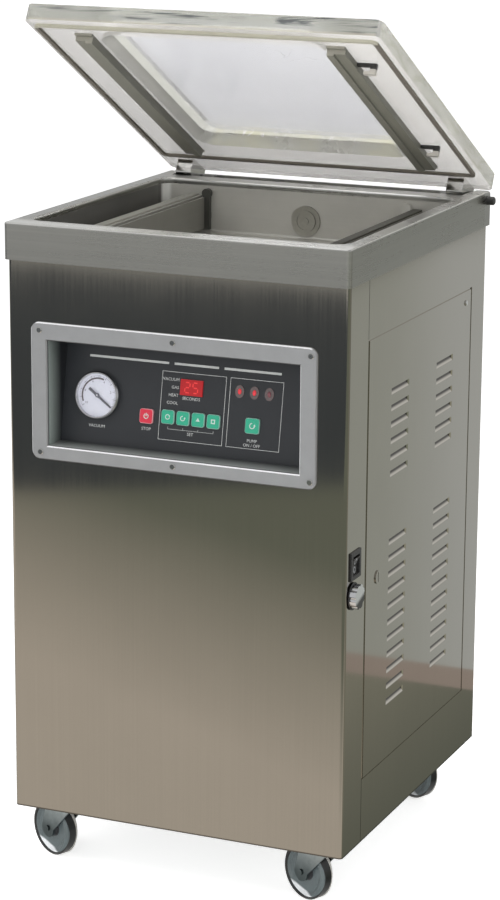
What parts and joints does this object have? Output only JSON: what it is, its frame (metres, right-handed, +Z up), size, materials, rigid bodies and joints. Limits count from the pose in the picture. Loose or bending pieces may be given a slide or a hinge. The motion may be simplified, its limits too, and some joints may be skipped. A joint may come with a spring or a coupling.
{
  "type": "vacuum packing machine",
  "caption": "Floor standing chamber vacuum packer with a clear domed lid, lifting seal bars, recessed control panel, louvred steel casing and swivel casters.",
  "frame": {"origin": "on the floor, under the middle of the machine's outline with the lid open", "axes": "+Z up, +X to the machine's right as seen from the front, front faces -Y"},
  "size_m": [0.512, 0.5482, 1.1827],
  "materials": {
    "casing_steel": "satin",
    "band_steel": "satin",
    "chamber_steel": "satin",
    "zinc_steel": "zinc plated",
    "chrome": "polished",
    "bezel_metal": "satin",
    "face_plastic": "satin",
    "acrylic": "clear",
    "sponge_rubber": "matt",
    "bar_metal": "anodised",
    "heater_tape": "woven tape",
    "silicone": "matt",
    "black_plastic": "matt",
    "red_plastic": "gloss",
    "green_plastic": "gloss",
    "red_window": "gloss",
    "lamp_red": "gloss",
    "gauge_shell": "polished",
    "clear_window": "clear",
    "spring_steel": "oiled",
    "wheel_plastic": "satin",
    "pump_iron": "painted",
    "core_steel": "varnished",
    "valve_brass": "plain",
    "hose_rubber": "matt",
    "board_green": "matt"
  },
  "bodies": {
    "cabinet": {"base_pan": "zinc_steel", "front_sheet": "casing_steel", "side_frame_left": "casing_steel", "side_frame_right": "casing_steel", "louvred_panel_left": "casing_steel", "louvred_panel_right": "casing_steel", "rear_panel": "casing_steel", "cable_gland": "black_plastic", "collar": "band_steel", "chamber_basin": "chamber_steel", "rear_housing": "band_steel", "hinge_shaft": "chrome", "shaft_caps": "black_plastic", "torsion_springs": "spring_steel", "vacuum_port_cap": "chrome", "lift_cylinders": "bar_metal", "bar_guides": "black_plastic", "bezel": "bezel_metal", "control_box": "face_plastic", "gauge_case": "gauge_shell", "gauge_lens": "clear_window", "display_window": "red_window", "indicator_lamps": "lamp_red", "control_board": "board_green", "rocker_frame": "black_plastic", "machine_screws": "chrome", "vacuum_pump": "pump_iron", "transformer": "core_steel", "solenoid_valves": "valve_brass", "vacuum_hose": "hose_rubber", "caster_plates": "zinc_steel"},
    "lid": {"lid": "acrylic", "lid_gasket": "sponge_rubber", "hinge_arms": "chrome", "upper_bars": "bar_metal", "silicone_strips": "silicone", "bag_clips": "black_plastic"},
    "left_seal_bar": {"seal_bar_left": "bar_metal", "heater_cover_left": "heater_tape"},
    "right_seal_bar": {"seal_bar_right": "bar_metal", "heater_cover_right": "heater_tape"},
    "gauge_needle": {"gauge_needle": "black_plastic"},
    "rocker": {"rocker": "black_plastic"},
    "side_knob": {"side_knob": "chrome"},
    "cam_lock": {"cam_lock": "chrome"},
    "stop_button": {"stop_button": "red_plastic"},
    "key_1": {"key_1": "green_plastic"},
    "key_2": {"key_2": "green_plastic"},
    "key_3": {"key_3": "green_plastic"},
    "key_4": {"key_4": "green_plastic"},
    "key_5": {"key_5": "green_plastic"},
    "fork_front_left": {"caster_fork_front_left": "zinc_steel"},
    "wheel_front_left": {"caster_wheel_front_left": "wheel_plastic"},
    "fork_front_right": {"caster_fork_front_right": "zinc_steel"},
    "wheel_front_right": {"caster_wheel_front_right": "wheel_plastic"},
    "fork_rear_left": {"caster_fork_rear_left": "zinc_steel"},
    "wheel_rear_left": {"caster_wheel_rear_left": "wheel_plastic"},
    "fork_rear_right": {"caster_fork_rear_right": "zinc_steel"},
    "wheel_rear_right": {"caster_wheel_rear_right": "wheel_plastic"}
  },
  "joints": [
    {"name": "lid_hinge", "type": "hinge", "parent": "cabinet", "child": "lid", "pos_m": [0, 0.25215, 0.892], "axis": [-1, 0, 0], "range_deg": [-29.05, 0], "stiffness_Nm_per_rad": 20, "springref_deg": 68.75},
    {"name": "right_bar_lift", "type": "slide", "parent": "cabinet", "child": "right_seal_bar", "axis": [0, 0, 1], "range_m": [0, 0.0107]},
    {"name": "left_bar_lift", "type": "slide", "parent": "cabinet", "child": "left_seal_bar", "axis": [0, 0, 1], "range_m": [0, 0.0107]},
    {"name": "needle_turn", "type": "hinge", "parent": "cabinet", "child": "gauge_needle", "pos_m": [-0.1327, -0.2255, 0.67295], "axis": [0, -0.9841, 0.1778], "range_deg": [0, 250], "stiffness_Nm_per_rad": 0.001, "springref_deg": -11.46},
    {"name": "rocker_tip", "type": "hinge", "parent": "cabinet", "child": "rocker", "pos_m": [0.2364, -0.23635, 0.487], "axis": [0, -1, 0], "range_deg": [0, 18]},
    {"name": "side_knob_turn", "type": "hinge", "parent": "cabinet", "child": "side_knob", "pos_m": [0.2424, -0.24385, 0.447], "axis": [1, 0, 0], "range_deg": [0, 270]},
    {"name": "cam_lock_turn", "type": "hinge", "parent": "cabinet", "child": "cam_lock", "pos_m": [0.2424, -0.15315, 0.448], "axis": [1, 0, 0], "range_deg": [0, 90]},
    {"name": "stop_button_press", "type": "slide", "parent": "cabinet", "child": "stop_button", "axis": [0, 0.9841, -0.1778], "range_m": [0, 0.0015], "stiffness_N_per_m": 250, "springref_m": -0.002},
    {"name": "key_1_press", "type": "slide", "parent": "cabinet", "child": "key_1", "axis": [0, 0.9841, -0.1778], "range_m": [0, 0.0015], "stiffness_N_per_m": 250, "springref_m": -0.002},
    {"name": "key_2_press", "type": "slide", "parent": "cabinet", "child": "key_2", "axis": [0, 0.9841, -0.1778], "range_m": [0, 0.0015], "stiffness_N_per_m": 250, "springref_m": -0.002},
    {"name": "key_3_press", "type": "slide", "parent": "cabinet", "child": "key_3", "axis": [0, 0.9841, -0.1778], "range_m": [0, 0.0015], "stiffness_N_per_m": 250, "springref_m": -0.002},
    {"name": "key_4_press", "type": "slide", "parent": "cabinet", "child": "key_4", "axis": [0, 0.9841, -0.1778], "range_m": [0, 0.0015], "stiffness_N_per_m": 250, "springref_m": -0.002},
    {"name": "key_5_press", "type": "slide", "parent": "cabinet", "child": "key_5", "axis": [0, 0.9841, -0.1778], "range_m": [0, 0.0015], "stiffness_N_per_m": 250, "springref_m": -0.002},
    {"name": "swivel_front_left", "type": "hinge", "parent": "cabinet", "child": "fork_front_left", "pos_m": [-0.1919, -0.21315, 0.0875], "axis": [0, 0, 1], "continuous": true},
    {"name": "roll_front_left", "type": "hinge", "parent": "fork_front_left", "child": "wheel_front_left", "pos_m": [-0.2143, -0.20205, 0.04], "axis": [0.4439, 0.8961, 0], "continuous": true},
    {"name": "swivel_front_right", "type": "hinge", "parent": "cabinet", "child": "fork_front_right", "pos_m": [0.1919, -0.21315, 0.0875], "axis": [0, 0, 1], "continuous": true},
    {"name": "roll_front_right", "type": "hinge", "parent": "fork_front_right", "child": "wheel_front_right", "pos_m": [0.1695, -0.20205, 0.04], "axis": [0.4439, 0.8961, 0], "continuous": true},
    {"name": "swivel_rear_left", "type": "hinge", "parent": "cabinet", "child": "fork_rear_left", "pos_m": [-0.1919, 0.20255, 0.0875], "axis": [0, 0, 1], "continuous": true},
    {"name": "roll_rear_left", "type": "hinge", "parent": "fork_rear_left", "child": "wheel_rear_left", "pos_m": [-0.2143, 0.21365, 0.04], "axis": [0.4439, 0.8961, 0], "continuous": true},
    {"name": "swivel_rear_right", "type": "hinge", "parent": "cabinet", "child": "fork_rear_right", "pos_m": [0.1919, 0.20255, 0.0875], "axis": [0, 0, 1], "continuous": true},
    {"name": "roll_rear_right", "type": "hinge", "parent": "fork_rear_right", "child": "wheel_rear_right", "pos_m": [0.1695, 0.21365, 0.04], "axis": [0.4439, 0.8961, 0], "continuous": true}
  ],
  "couplings": [
    {"joint": "left_bar_lift", "follows": "right_bar_lift", "ratio": 1}
  ]
}
